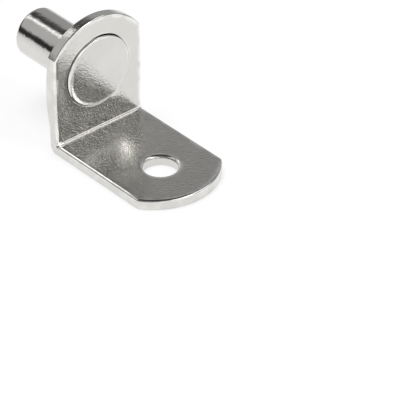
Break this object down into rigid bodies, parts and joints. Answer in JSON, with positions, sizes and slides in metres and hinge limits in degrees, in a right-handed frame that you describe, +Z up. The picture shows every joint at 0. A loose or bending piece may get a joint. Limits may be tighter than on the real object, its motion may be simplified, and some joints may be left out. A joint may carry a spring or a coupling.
{
  "type": "shelf support pin",
  "caption": "Folded L-shaped bracket with domed ends and a screw hole in its shelf leg, and a headed pin through its upright plate that plugs into a cabinet's shelf hole.",
  "frame": {"origin": "on the pin's axis, at the wall face of the upright plate", "axes": "+Y along the pin into the cabinet's side, -Y along the shelf leg, +Z up, towards the shelf that rests on the leg"},
  "size_m": [0.0136, 0.0291, 0.0159],
  "materials": {
    "bracket": "nickel plated, satin with fine grain",
    "pin": "nickel plated, bright"
  },
  "bodies": {
    "root": {"bracket": "bracket", "pin": "pin"}
  },
  "joints": []
}
